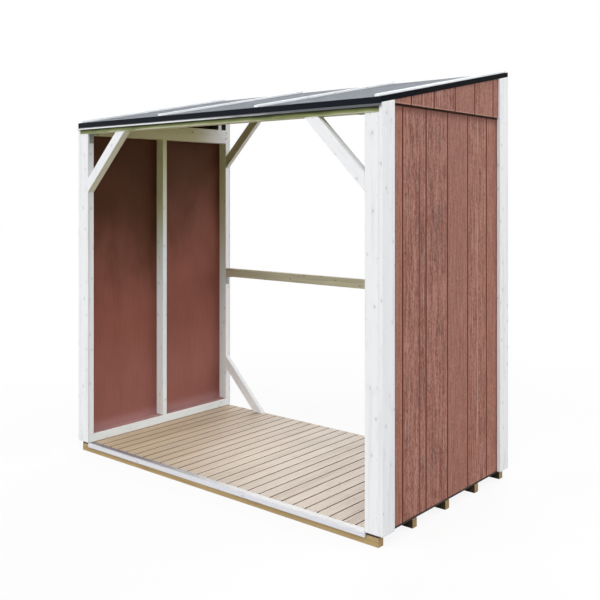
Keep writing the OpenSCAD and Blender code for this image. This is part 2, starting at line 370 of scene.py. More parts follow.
@dataclass(frozen=True)
class PaintedLightBand:
    """Paint with a band of painted light or shade laid over it, on ledges and lips; it may fade out along the width and
    end at a height.
    """

    name: str
    dust_and_painted_light: Colour
    paint: Colour = (0.80, 0.81, 0.82)
    fade: Ramp = Ramp(5.0, 6.0, 1.0, 0.0)
    top: float = 9.0
    top_edge: float = 0.001
    bare: Ramp = Ramp(0.2, 0.6, 0.85, 1.0)
    patch: Layer = Layer((9.0, 60.0, 60.0))
    speck: Layer = Layer(scale=350.0, detail=3.0)
    wander: Ramp = mid(-0.12, 0.12)
    thin: Ramp = mid(0.0, 0.10)
    bump: Bump = Bump(0.15, 0.0005)
    gloss: Ramp = mid(0.5, 0.7)

    def material(self) -> bpy.types.Material:
        """Build the ledge's material."""
        s = Shader(self.name)
        place = s.place()
        patch, speck = s.noise(place, self.patch), s.noise(place, self.speck)
        along = s.plus(s.axis(place, "X"), s.ramp(patch, self.wander))
        share = s.times(s.ramp(along, self.fade), s.ramp(patch, self.bare))
        end = Ramp(self.top - self.top_edge, self.top + self.top_edge, 1.0, 0.0)
        share = s.times(share, s.ramp(s.axis(place, "Z"), end))
        colour = s.mix(share, self.paint, s.over(self.dust_and_painted_light, (speck, self.thin, self.paint)))
        return s.finish(colour, s.ramp(speck, self.gloss), speck, self.bump)


@dataclass(frozen=True)
class BareWood:
    """Unpainted boards: grain along each board, a tone of its own for each, knots and darker end grain, and where given
    a warm painted shade along one side.
    """

    name: str
    light: Colour
    dark: Colour
    knot: Colour
    spread: float = 0.25
    spread_up: float = 0.35
    knot_spot: Ramp = Ramp(0.03, 0.10, 0.7, 0.0)
    knot_grid: Scale = (9.0, 13.0, 1.0)
    knot_from: float = 0.82
    knot_step: float = 0.04
    warm: Optional[Colour] = None
    warm_fade: Ramp = Ramp(-1.1, 0.1, 1.0, 0.0)
    warm_wander: Ramp = mid(-0.15, 0.15)
    warm_lean: float = 0.5
    fine: Layer = Layer((4.0, 320.0, 1.0), detail=6.0, roughness=0.65)
    bands: Layer = Layer((0.9, 55.0, 1.0), detail=3.0, distortion=0.7)
    patch: Layer = Layer((2.3, 14.0, 1.0), detail=2.0)
    band_share: Ramp = Ramp(0.35, 0.72, 0.0, 0.6)
    fine_share: Ramp = Ramp(0.42, 0.75, 0.0, 0.5)
    patch_share: Ramp = Ramp(0.35, 0.75, -0.1, 0.25)
    end_share: float = 0.45
    relief: tuple[float, ...] = (0.7, 0.5)
    bump: Bump = Bump(0.3, 0.001)
    gloss: Ramp = mid(0.62, 0.78)

    def material(self) -> bpy.types.Material:
        """Build the wood's material."""
        s = Shader(self.name)
        grain = s.grain()
        fine, bands, patch = (s.noise(grain, layer) for layer in (self.fine, self.bands, self.patch))
        share = s.plus(s.ramp(bands, self.band_share), s.ramp(fine, self.fine_share))
        colour = s.mix(s.plus(share, s.ramp(patch, self.patch_share)), self.light, self.dark)
        tone = s.ramp(s.layer(TONE), Ramp(0.0, 1.0, 1.0 - self.spread, 1.0 + self.spread_up * self.spread))
        colour = s.mix(1.0, colour, s.joined(tone), "MULTIPLY")
        # Painted shade: warmer and darker towards the left wall.
        if self.warm:
            place = s.place()
            along = s.plus(s.axis(place, "X"), s.times(s.axis(place, "Y"), self.warm_lean))
            along = s.plus(along, s.ramp(patch, self.warm_wander))
            colour = s.tint(s.ramp(along, self.warm_fade), colour, self.warm)
        distance, pick = s.cells(s.stretch(grain, self.knot_grid), flat=True)
        chosen = s.ramp(s.axis(pick, "X"), Ramp(self.knot_from, self.knot_from + self.knot_step))
        colour = s.mix(s.times(chosen, s.ramp(distance, self.knot_spot)), colour, self.knot)
        colour = s.mix(s.times(s.layer(END), self.end_share), colour, self.dark)
        return s.finish(colour, s.ramp(fine, self.gloss), s.weigh((fine, bands), self.relief), self.bump)


@dataclass(frozen=True)
class EaveShadeBoard:
    """Fascia under the eave with painted shade: pale along its lower edge, painted shade tinted green above it and
    darkest just below the drip.
    """

    name: str = "eave_shade_board"
    pale: Colour = (0.46, 0.46, 0.32)
    green: Colour = (0.235, 0.270, 0.100)
    dark: Colour = (0.055, 0.066, 0.024)
    low: float = 1.936
    edge: float = 0.004
    reach: float = 0.026
    wander: Ramp = mid(-0.004, 0.004)
    fine: Layer = Layer((5.0, 260.0, 1.0), detail=5.0)
    patch: Layer = Layer((4.0, 30.0, 1.0))
    fine_share: Ramp = Ramp(0.50, 0.78, 0.0, 0.35)
    patch_share: Ramp = Ramp(0.50, 0.70, 0.0, 0.40)
    bump: Bump = Bump(0.25, 0.0008)
    gloss: Ramp = mid(0.60, 0.76)
    specular: float = 0.2

    def material(self) -> bpy.types.Material:
        """Build the board's material."""
        s = Shader(self.name)
        grain = s.grain()
        fine, patch = s.noise(grain, self.fine), s.noise(grain, self.patch)
        height = s.plus(s.axis(s.place(), "Z"), s.ramp(patch, self.wander))
        # Painted shade: green above the lower edge, darkest under the drip.
        stripe = self.low + 2 * self.edge
        colour = s.over(self.pale, (height, Ramp(self.low + self.edge, stripe), self.green),
                        (height, Ramp(stripe, self.low + self.reach), self.dark),
                        (patch, self.patch_share, self.dark), (fine, self.fine_share, self.dark))
        return s.finish(colour, s.ramp(fine, self.gloss), fine, self.bump, specular=self.specular)


@dataclass(frozen=True)
class SidingPaint:
    """Brown-red paint on sheet siding with a pressed upright grain, paler with wear on the ridges; painted shade on the
    groove rims, beside the trims and below the lap, and painted highlights beyond the groove rims and along the gable
    panel's lower edge.
    """

    name: str = "siding_paint"
    colour: Colour = (0.318, 0.138, 0.103)
    dark: Colour = (0.135, 0.043, 0.029)
    # Colour of the painted shade on the groove rims.
    cut: Colour = (0.165, 0.046, 0.029)
    worn_and_highlight: Colour = (0.475, 0.252, 0.198)
    grey: Colour = (0.200, 0.112, 0.098)
    rust: Colour = (0.360, 0.150, 0.100)
    pitch: float = 0.2032
    shift: float = -0.013
    board_step: float = 0.731
    calm_every: float = 3.0
    calm_boards: Ramp = Ramp(0.2, 0.8, 0.62, 1.0)
    calm_back: Ramp = Ramp(1.4, 1.6, 1.0, 0.62)
    fine: Layer = Layer((1.0, 190.0, 64.0), detail=3.0, roughness=0.65, distortion=0.2)
    dash: Layer = Layer((1.0, 95.0, 8.0), detail=3.0, roughness=0.8, distortion=0.25)
    streak: Layer = Layer((1.0, 60.0, 2.2), roughness=0.62, distortion=0.3)
    rings: Layer = Layer((1.0, 17.0, 0.8), detail=2.0, distortion=0.6)
    blot: Layer = Layer((1.0, 14.0, 6.5), detail=3.0)
    ring_count: float = 7.0
    ring_fold: float = 0.5
    blot_grey: Ramp = Ramp(0.52, 0.72, 0.0, 0.65)
    streak_dark: Ramp = Ramp(0.50, 0.66, 0.0, 0.50)
    streak_worn: Ramp = Ramp(0.32, 0.48, 0.62, 0.0)
    dash_dark: Ramp = Ramp(0.51, 0.64, 0.0, 0.72)
    dash_worn: Ramp = Ramp(0.36, 0.48, 0.70, 0.0)
    crease_dark: Ramp = Ramp(0.38, 0.50, 0.0, 0.40)
    fine_dark: Ramp = Ramp(0.50, 0.66, 0.0, 0.62)
    fine_worn: Ramp = Ramp(0.34, 0.47, 0.55, 0.0)
    wander: Ramp = mid(-0.0012, 0.0012)
    check_place: float = -0.274
    check_line: Ramp = Ramp(0.0036, 0.0054, 1.0, 0.0)
    check_end: Ramp = Ramp(1.65, 1.80, 0.95, 0.0)
    pale_place: float = 0.294
    pale_line: Ramp = Ramp(0.0034, 0.0054, 1.0, 0.0)
    pale_share: Ramp = Ramp(0.35, 0.60, 0.3, 0.95)
    groove: float = 0.0045
    rim: float = 0.0030
    # Shares of the painted highlight beyond the groove rims and of the painted shade on them.
    rim_highlight: float = 0.35
    rim_shade: float = 0.95
    trim_shade: Ramp = Ramp(0.503, 0.507, 0.0, 0.75)
    lap: float = 9.0
    lap_reach: float = 0.045
    lap_shade: float = 0.8
    lap_highlight: Optional[Ramp] = None
    relief: tuple[float, ...] = (-0.5, -0.7, -0.4)
    bump: Bump = Bump(0.5, 0.002)
    gloss: Ramp = mid(0.62, 0.80)
    specular: float = 0.2

    def material(self) -> bpy.types.Material:
        """Build the siding's outer material."""
        s = Shader(self.name)
        place = s.place()
        y, z = s.axis(place, "Y"), s.axis(place, "Z")
        board = s.calc("FLOOR", s.calc("DIVIDE", s.calc("SUBTRACT", y, self.shift), self.pitch))
        moved = s.add("ShaderNodeVectorMath", {0: place, 1: s.joined(s.times(board, self.board_step))}, operation="ADD")
        fine, dash, streak, rings, blot = (s.noise(moved.outputs["Vector"], layer) for layer in (
            self.fine, self.dash, self.streak, self.rings, self.blot))
        crease = s.calc("PINGPONG", s.times(rings, self.ring_count), self.ring_fold)
        tone = s.add("ShaderNodeTexWhiteNoise", {"W": board}, noise_dimensions="1D").outputs["Color"]
        plain = s.mix(s.axis(tone, "Y"), self.colour, self.rust)
        colour = s.over(plain, (blot, self.blot_grey, self.grey),
                        (streak, self.streak_dark, self.dark), (streak, self.streak_worn, self.worn_and_highlight),
                        (dash, self.dash_dark, self.dark), (dash, self.dash_worn, self.worn_and_highlight),
                        (crease, self.crease_dark, self.dark),
                        (fine, self.fine_dark, self.dark), (fine, self.fine_worn, self.worn_and_highlight))
        lively = s.ramp(s.calc("FLOORED_MODULO", board, self.calm_every), self.calm_boards)
        colour = s.mix(s.calc("MINIMUM", lively, s.ramp(board, self.calm_back)), plain, colour)
        across = s.plus(y, s.ramp(rings, self.wander))
        line = s.ramp(s.gap(across, self.check_place), self.check_line)
        colour = s.mix(s.times(line, s.ramp(z, self.check_end)), colour, self.dark)
        line = s.ramp(s.gap(across, self.pale_place), self.pale_line)
        colour = s.mix(s.times(line, s.ramp(blot, self.pale_share)), colour, self.worn_and_highlight)
        # Painted shade on the groove rims with a painted highlight beyond them, painted shade beside the trims and
        # below the lap.
        off, rim = s.calc("PINGPONG", s.calc("SUBTRACT", y, self.shift), self.pitch / 2), self.groove + self.rim
        colour = s.over(colour, (off, Ramp(rim, rim + 2 * self.rim, self.rim_highlight, 0.0), self.worn_and_highlight),
                        (off, Ramp(self.groove, rim, self.rim_shade, 0.0), self.cut),
                        (s.calc("ABSOLUTE", y), self.trim_shade, self.dark),
                        (z, Ramp(self.lap - self.lap_reach, self.lap, 0.0, self.lap_shade), self.dark))
        # Painted highlight along the gable panel's lower edge.
        if self.lap_highlight:
            colour = s.over(colour, (z, self.lap_highlight, self.worn_and_highlight))
        relief = s.weigh((fine, dash, crease), self.relief)
        return s.finish(colour, s.ramp(fine, self.gloss), relief, self.bump, specular=self.specular)


@dataclass(frozen=True)
class PanelBack:
    """Smooth inner face of the siding: faint streaks, painted shade under the roof that reaches lowest just in front of
    the middle stud, painted light lower down and a painted glow towards its foot.
    """

    name: str = "panel_back"
    colour: Colour = (0.285, 0.103, 0.076)
    dark: Colour = (0.232, 0.078, 0.057)
    shade: Colour = (0.35, 0.37, 0.24)
    shade_rise: Ramp = Ramp(0.85, 1.70)
    shade_wander: Ramp = mid(-0.08, 0.08)
    lean: float = -0.27
    front_drop: Ramp = Ramp(-0.016, 0.016, 0.22, 0.0)
    lift: Optional[Colour] = None
    lift_fade: Ramp = Ramp(0.33, 0.75, 1.0, 0.0)
    foot: Optional[Colour] = None
    foot_top: float = 0.20
    foot_reach: float = 0.09
    foot_share: float = 0.9
    streak: Layer = Layer((1.0, 90.0, 5.0))
    blot: Layer = Layer((1.0, 5.0, 2.5))
    speck: Layer = Layer(scale=420.0, detail=2.0)
    streak_share: Ramp = Ramp(0.40, 0.75, 0.0, 0.4)
    blot_share: Ramp = Ramp(0.40, 0.70, 0.0, 0.4)
    bump: Bump = Bump(0.10, 0.0004)
    gloss: Ramp = mid(0.50, 0.62)
    specular: float = 0.08

    def material(self) -> bpy.types.Material:
        """Build the panel's inner material."""
        s = Shader(self.name)
        place = s.place()
        y, z = s.axis(place, "Y"), s.axis(place, "Z")
        streak, blot, speck = (s.noise(place, layer) for layer in (self.streak, self.blot, self.speck))
        share = s.plus(s.ramp(streak, self.streak_share), s.ramp(blot, self.blot_share))
        colour = s.mix(share, self.colour, self.dark)
        # Painted shade: darker higher up, reaching lowest just in front of the middle stud.
        height = s.plus(z, s.times(s.calc("ABSOLUTE", y), self.lean))
        height = s.plus(s.plus(height, s.ramp(y, self.front_drop)), s.ramp(blot, self.shade_wander))
        colour = s.tint(s.ramp(height, self.shade_rise), colour, self.shade)
        # Painted light: the lower part of the panel is brightened.
        if self.lift:
            colour = s.tint(s.ramp(z, self.lift_fade), colour, self.lift)
        # Painted glow of bounce light off the bottom plate along the panel's foot.
        if self.foot:
            painted_glow = Ramp(self.foot_top - self.foot_reach, self.foot_top, self.foot_share, 0.0)
            colour = s.over(colour, (z, painted_glow, self.foot))
        return s.finish(colour, s.ramp(speck, self.gloss), speck, self.bump, specular=self.specular)


@dataclass(frozen=True)
class Granules:
    """Mineral granules on roofing felt."""

    name: str = "felt_granules"
    light: Colour = (0.250, 0.274, 0.308)
    dark: Colour = (0.112, 0.125, 0.143)
    grains: float = 620.0
    patch: Layer = Layer(scale=3.2, detail=5.0)
    grit_share: Ramp = Ramp(0.15, 0.85, 0.0, 0.75)
    patch_share: Ramp = Ramp(0.40, 0.72, 0.0, 0.3)
    bump: Bump = Bump(0.5, 0.0012)
    gloss: Ramp = Ramp(0.0, 1.0, 0.80, 0.95)
    specular: float = 0.3

    def material(self) -> bpy.types.Material:
        """Build the felt's material."""
        s = Shader(self.name)
        place = s.place()
        distance, pick = s.cells(place, self.grains)
        grit = s.axis(pick, "X")
        colour = s.over(self.light, (grit, self.grit_share, self.dark),
                        (s.noise(place, self.patch), self.patch_share, self.dark))
        return s.finish(colour, s.ramp(grit, self.gloss), distance, self.bump, specular=self.specular)


@dataclass(frozen=True)
class CoatedMetal:
    """Folded coated sheet with faint waves and dust."""

    name: str
    colour: Colour
    dust_and_painted_light: Colour
    gloss: float = 0.34
    gloss_spread: float = 0.16
    specular: float = 0.14
    wave: Layer = Layer(scale=7.0, detail=2.0)
    speck: Layer = Layer(scale=140.0)
    dust_share: Ramp = Ramp(0.5, 0.8, 0.0, 0.35)
    bump: Bump = Bump(0.08, 0.002)

    def material(self) -> bpy.types.Material:
        """Build the sheet's material."""
        s = Shader(self.name)
        place = s.place()
        speck = s.noise(place, self.speck)
        colour = s.over(self.colour, (speck, self.dust_share, self.dust_and_painted_light))
        gloss = s.ramp(speck, mid(self.gloss, self.gloss + self.gloss_spread))
        return s.finish(colour, gloss, s.noise(place, self.wave), self.bump, specular=self.specular)


@dataclass(frozen=True)
class ZincSteel:
    """Dull galvanised steel with a faint spangle."""

    name: str = "zinc_steel"
    colour: Colour = (0.37, 0.40, 0.36)
    dark: Colour = (0.19, 0.215, 0.185)
    spangles: float = 130.0
    dark_share: Ramp = Ramp(0.2, 0.8, 0.0, 0.7)
    bump: Bump = Bump(0.06, 0.0004)
    gloss: Ramp = Ramp(0.0, 0.8, 0.36, 0.52)
    metallic: float = 0.5

    def material(self) -> bpy.types.Material:
        """Build the steel's material."""
        s = Shader(self.name)
        distance, pick = s.cells(s.place(), self.spangles)
        colour = s.over(self.colour, (s.axis(pick, "X"), self.dark_share, self.dark))
        return s.finish(colour, s.ramp(distance, self.gloss), distance, self.bump, self.metallic)


class Finish(Protocol):
    """Any finish: a name and a way to build its material."""

    name: str

    def material(self) -> bpy.types.Material:
        """Build the finish's material."""


@lru_cache(maxsize=None)
def material_of(finish: Finish) -> bpy.types.Material:
    """Material of a finish, built once."""
    return finish.material()


HEM_HEIGHT = 0.0085
# Height above the bottom plate where the painted glow on the inner panels ends.
FOOT_GLOW_HEIGHT = 0.08
# Band above the gable panel's foot that takes a painted highlight.
LAP_HIGHLIGHT = (0.003, 0.008)
GABLE_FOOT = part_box("left_gable_panel")[0].z
WHITE = WhitePaint()
# Lit copy of the white paint, brighter and cooler: painted light.
WHITE_LIT = WhitePaint("white_paint_lit", (0.92, 0.95, 0.97), (0.79, 0.82, 0.84))
# Brighter, cooler copy of the white paint against the red bounce light: painted light.
WHITE_COOL_LIT = WhitePaint("white_paint_cool_lit", (0.89, 0.965, 0.99), (0.77, 0.835, 0.86))
# Cool copies of the white paint against the red bounce light, with an olive painted shade higher up: painted light and
# painted shade.
WHITE_INSIDE = WhitePaint("white_paint_inside", (0.865, 0.93, 0.975), (0.74, 0.795, 0.835),
                          roof_shade_rise=Ramp(0.95, 1.9, 0.0, 0.95))
WHITE_CORNER = WhitePaint("white_paint_corner", (0.89, 0.975, 0.985), (0.765, 0.84, 0.855),
                          roof_shade=(0.73, 0.655, 0.31), roof_shade_rise=Ramp(0.75, 1.75, 0.0, 0.97))
# Olive painted shade under the roof, clearing towards the back.
WHITE_UNDER_ROOF = WhitePaint("white_paint_under_roof", (0.88, 0.89, 0.90), (0.74, 0.75, 0.76), (0.12, 0.10, 0.07),
                              roof_shade=(0.74, 0.70, 0.375), roof_shade_rise=Ramp(1.4, 1.8, 0.0, 1.0),
                              roof_shade_clear=Ramp(0.2, 0.55, 1.0, 0.0), knot_share=0.7)
# Shaded copy of the white paint for the front braces' lower sides: painted shade.
WHITE_BRACE_SHADED = WhitePaint("white_paint_brace_shaded", (0.84, 0.82, 0.61), (0.70, 0.68, 0.49))
# Darker, bluer copy of the white paint for the sill: painted shade.
WHITE_SILL_SHADED = WhitePaint("white_paint_sill_shaded", (0.71, 0.72, 0.76), (0.60, 0.61, 0.65))
GABLE_SHADE = WhitePaint("gable_shade", (0.06, 0.055, 0.05), (0.04, 0.036, 0.03), knot_share=0.0)
# Painted reflection of the red panel on the bottom plates' upper faces.
LEDGE = PaintedLightBand("ledge_painted_reflection", (0.41, 0.21, 0.20), bare=Ramp(0.2, 0.6, 0.98, 1.0))
# Painted shade along the left part of the sill's rear strip, fading out to the right.
SILL_LEDGE = PaintedLightBand("sill_painted_shade", (0.14, 0.12, 0.14), fade=Ramp(-0.65, 0.35, 0.95, 0.0))
# Painted highlight on the front flashing's lip, pale at the left and fading out to the right.
HEM = PaintedLightBand("flashing_hem_painted_highlight", (0.74, 0.75, 0.76), (0.07, 0.073, 0.08), fade=Ramp(-0.25, 0.65, 1.0, 0.0),
                 top=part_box("front_flashing")[0].z + HEM_HEIGHT)
TREATED = BareWood("treated_timber", (0.56, 0.54, 0.385), (0.375, 0.35, 0.22), (0.10, 0.075, 0.04),
                   knot_grid=(9.0, 16.0, 1.0), knot_from=0.45)
OLIVE = BareWood("olive_timber", (0.54, 0.485, 0.24), (0.40, 0.35, 0.155), (0.10, 0.075, 0.03),
                 knot_grid=(9.0, 16.0, 1.0), knot_from=0.6)
# Pale copy of the olive timber for the upper back braces' lower sides: painted light.
OLIVE_LIT = BareWood("olive_timber_lit", (0.92, 0.92, 0.84), (0.78, 0.775, 0.68), (0.30, 0.26, 0.18))
# Painted shade under the eave on the fascia.
FASCIA = EaveShadeBoard(low=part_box("front_fascia")[0].z)
# Deck with a warm painted shade towards the left wall.
DECK = BareWood("deck_wood", (0.74, 0.66, 0.58), (0.58, 0.48, 0.39), (0.30, 0.20, 0.13), spread=0.07,
                knot_spot=Ramp(0.03, 0.10, 0.45, 0.0), warm=(0.80, 0.71, 0.56))
# Painted shade on the deck boards' sides in the gaps and on the hidden outer edges.
DECK_SIDE_SHADE = BareWood("deck_side_shade", (0.06, 0.032, 0.016), (0.035, 0.018, 0.008), (0.02, 0.01, 0.005))
DECK_EDGE_SHADE = BareWood("deck_edge_shade", (0.022, 0.015, 0.009), (0.014, 0.009, 0.005), (0.01, 0.007, 0.004))
BEARER = BareWood("bearer_wood", (0.47, 0.335, 0.155), (0.22, 0.145, 0.055), (0.12, 0.075, 0.03), spread=0.1)
# Painted shade on the bearers' sides under the floor.
BEARER_SIDE_SHADE = BareWood("bearer_side_shade", (0.055, 0.038, 0.016), (0.035, 0.024, 0.009), (0.02, 0.014, 0.006))
ROOF_WOOD = BareWood("roof_wood", (0.40, 0.35, 0.19), (0.25, 0.21, 0.10), (0.11, 0.08, 0.04))
SIDING = SidingPaint(lap=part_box("left_seam_flashing")[0].z)
# Gable siding with a painted highlight along its lower edge.
SIDING_GABLE = SidingPaint("siding_paint_gable", shift=0.045, check_end=Ramp(-0.15, 0.0, 0.95, 0.0), pale_place=5.0,
                           lap_highlight=Ramp(GABLE_FOOT + LAP_HIGHLIGHT[0], GABLE_FOOT + LAP_HIGHLIGHT[1], 0.7, 0.0))
# Painted shade in the siding's grooves.
SIDING_GROOVE_SHADE = PanelBack("siding_groove_shade", (0.150, 0.036, 0.020), (0.110, 0.026, 0.014), (1.0, 1.0, 1.0))
# Inner panel with painted shade under the roof, painted light lower down and a painted glow at its foot.
PANEL_BACK = PanelBack(lift=(1.145, 1.27, 1.38), foot=(0.45, 0.245, 0.24),
                       foot_top=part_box("left_bottom_plate")[1].z + FOOT_GLOW_HEIGHT)
# Painted shade on the gable panels' inner faces.
GABLE_BACK_SHADED = PanelBack("gable_back", (0.070, 0.028, 0.018), (0.050, 0.020, 0.012), (0.7, 0.7, 0.7))
FELT = Granules()
FLASHING = CoatedMetal("dark_flashing", (0.006, 0.008, 0.012), (0.014, 0.017, 0.022), 0.5, specular=0.05)
# Darker copy of the flashing for the verges: painted shade.
VERGE_SHADED = CoatedMetal("verge_flashing_shaded", (0.0025, 0.003, 0.0045), (0.006, 0.007, 0.009), 0.55, specular=0.02)
SEAM = CoatedMetal("seam_shadow", (0.040, 0.014, 0.009), (0.06, 0.024, 0.016), 0.6, specular=0.04)
ZINC = ZincSteel()
NAIL = CoatedMetal("nail_heads", (0.35, 0.30, 0.25), (0.24, 0.20, 0.16), specular=0.3)
PAINTED_NAIL = CoatedMetal("painted_nails", (0.62, 0.62, 0.63), (0.50, 0.50, 0.51), specular=0.3)


def everything(bm: bmesh.types.BMesh) -> list:
    """All the points, edges and faces of a mesh."""
    return bm.verts[:] + bm.edges[:] + bm.faces[:]


class Piece:
    """A mesh in the making: copied from a CAD node or put together from new shapes, then softened and dressed."""

    # Shares of a head's radius or height: taper, length, rise of its middle, width of its rim and depth of its dip.
    TAPER, LENGTH, RISE, RIM, DIP = 0.72, 1.6, 0.2, 0.30, 0.45
    PATTERN_REACH = 60

    def __init__(self, name: str) -> None:
        """Start an empty piece.

        Args:
            name: Name of the finished object.
        """
        self.name = name
        self.bm = bmesh.new()
        self.rng = random.Random(name)

    def copy(self, node: str) -> "Piece":
        """Take over a CAD node's shape, with its triangles joined to flat faces.

        Args:
            node: Name of the node.

        Returns:
            This piece.
        """
        self.bm.from_mesh(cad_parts[node].data)
        bmesh.ops.remove_doubles(self.bm, verts=self.bm.verts[:], dist=MERGE_DISTANCE)
        bmesh.ops.dissolve_limit(self.bm, angle_limit=math.radians(FLAT_ANGLE), use_dissolve_boundaries=False,
                                 verts=self.bm.verts[:], edges=self.bm.edges[:])
        return self

    def soften(self, width: float, segments: int = 2, sharp: float = 25.0) -> "Piece":
        """Round the sharp edges.

        Args:
            width: Width of the rounding in metres.
            segments: Steps across it.
            sharp: Smallest angle between two faces that counts as sharp, in degrees.

        Returns:
            This piece.
        """
        limit = math.radians(sharp)
        edges = [e for e in self.bm.edges if len(e.link_faces) == 2 and e.calc_face_angle(0.0) > limit]
        bmesh.ops.bevel(self.bm, geom=edges, offset=width, offset_type="OFFSET", affect="EDGES", segments=segments,
                        profile=0.5, material=-1, clamp_overlap=True)
        return self

    def split(self, normal: Vector, cuts: Sequence[float]) -> "Piece":
        """Saw the piece into separate boards.

        Args:
            normal: Direction across the boards.
            cuts: Where each board ends, along that direction, in metres.

        Returns:
            This piece.
        """
        boards = bmesh.new()
        sheet = bpy.data.meshes.new(self.name + "_board")
        for low, high in zip(cuts, cuts[1:]):
            part = self.bm.copy()
            for edge, inner in ((low, True), (high, False)):
                bmesh.ops.bisect_plane(part, geom=everything(part), plane_co=normal * edge, plane_no=normal,
                                       clear_inner=inner, clear_outer=not inner)
                bmesh.ops.holes_fill(part, edges=[e for e in part.edges if e.is_boundary])
            bmesh.ops.recalc_face_normals(part, faces=part.faces[:])
            part.to_mesh(sheet)
            boards.from_mesh(sheet)
            part.free()
        bpy.data.meshes.remove(sheet)
        self.bm.free()
        self.bm = boards
        return self

    def solids(self) -> list[list[Face]]:
        """Group the faces by loose solid.

        Returns:
            One list of faces for each solid.
        """
        groups: list[list[Face]] = []
        seen: set[Face] = set()
        for start in self.bm.faces:
            if start in seen:
                continue
            seen.add(start)
            group, queue = [], [start]
            while queue:
                face = queue.pop()
                group.append(face)
                for other in (f for v in face.verts for f in v.link_faces if f not in seen):
                    seen.add(other)
                    queue.append(other)
            groups.append(group)
        return groups

    def lay_grain(self) -> "Piece":
        """Map each solid along its longest edge, and give it a tone and a place in the pattern of its own.

        Returns:
            This piece.
        """
        grain = self.bm.loops.layers.uv.new(GRAIN_MAP)
        tone = self.bm.faces.layers.float.new(TONE)
        end = self.bm.faces.layers.float.new(END)
        self.bm.normal_update()
        for faces in self.solids():
            longest = max((e for f in faces for e in f.edges), key=lambda e: e.calc_length())
            run = (longest.verts[1].co - longest.verts[0].co).normalized()
            value = self.rng.random()
            shift = Vector((self.rng.uniform(0, self.PATTERN_REACH), self.rng.uniform(0, self.PATTERN_REACH)))
            side = run.orthogonal().normalized()
            for face in faces:
                cut = abs(face.normal.dot(run)) > CROSSWISE
                along = side if cut else run
                across = face.normal.cross(along).normalized()
                face[tone], face[end] = value, float(cut)
                for loop in face.loops:
                    place = loop.vert.co
                    loop[grain].uv = Vector((place.dot(along), place.dot(across))) + shift
        return self

    def head(self, place: Vector, normal: Vector, radius: float, height: float, segments: int = NAIL_SIDES) -> None:
        """Add a nail or screw head that stands on a face, sunk a little into it.

        Args:
            place: Middle of the head, on the face.
            normal: Direction out of the face.
            radius: Radius of the head in metres.
            height: How far it stands out in metres.
            segments: Sides of the head.
        """
        turn = normal.to_track_quat("Z", "Y").to_matrix().to_4x4()
        made = bmesh.ops.create_cone(self.bm, cap_ends=True, segments=segments, radius1=radius,
                                     radius2=radius * self.TAPER, depth=height * self.LENGTH,
                                     matrix=Matrix.Translation(place + normal * height * self.RISE) @ turn)
        faces = {f for v in made["verts"] for f in v.link_faces}
        top = max(faces, key=lambda f: f.calc_center_median().dot(normal))
        bmesh.ops.inset_region(self.bm, faces=[top], thickness=radius * self.RIM, depth=-height * self.DIP)

    def dress(self, finishes: Sequence[Finish], slot: str, replaces: Sequence[str] = (),
              pick: Optional[Pick] = None) -> None:
        """Turn the piece into an object of the store.

        Args:
            finishes: Finishes of the piece.
            slot: Material slot of the record; not used.
            replaces: CAD nodes that it stands for.
            pick: Gives the number of the finish for a face.
        """
        self.bm.normal_update()
        if pick:
            for face in self.bm.faces:
                face.material_index = pick(face)
        mesh = bpy.data.meshes.new(self.name)
        self.bm.to_mesh(mesh)
        self.bm.free()
        obj = bpy.data.objects.new(self.name, mesh)
        for finish in finishes:
            mesh.materials.append(material_of(finish))
        bpy.context.scene.collection.objects.link(obj)
        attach(obj, BODY)
        if replaces:
            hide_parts(*replaces)
        LOG.info("%s: %d faces", self.name, len(mesh.polygons))


def boxes_of(node: str) -> list[tuple[Vector, Vector]]:
    """Measure the solids of a node.

    Args:
        node: CAD node with several solids.

    Returns:
        Lowest and highest corner of each solid.
    """
    shape, found = Piece(node).copy(node), []
    for faces in shape.solids():
        places = [v.co for f in faces for v in f.verts]
        found.append((Vector(map(min, zip(*places))), Vector(map(max, zip(*places)))))
    shape.bm.free()
    return found


def dressed(name: str, node: str, *finishes: Finish, slot: str = "white_timber", edge: float = 0.0, segments: int = 2,
            pick: Optional[Pick] = None) -> None:
    """Dress a copy of one CAD node, with softened edges and grain.

    Args:
        name: Name of the new piece.
        node: CAD node that it stands for.
        *finishes: Finishes of the piece.
        slot: Material slot.
        edge: Width of the softened edges in metres, or 0 for sharp ones.
        segments: Steps across a softened edge.
        pick: Gives the number of the finish for a face.
    """
    piece = Piece(name).copy(node)
    if edge:
        piece.soften(edge, segments)
    piece.lay_grain().dress(finishes, slot, [node], pick)


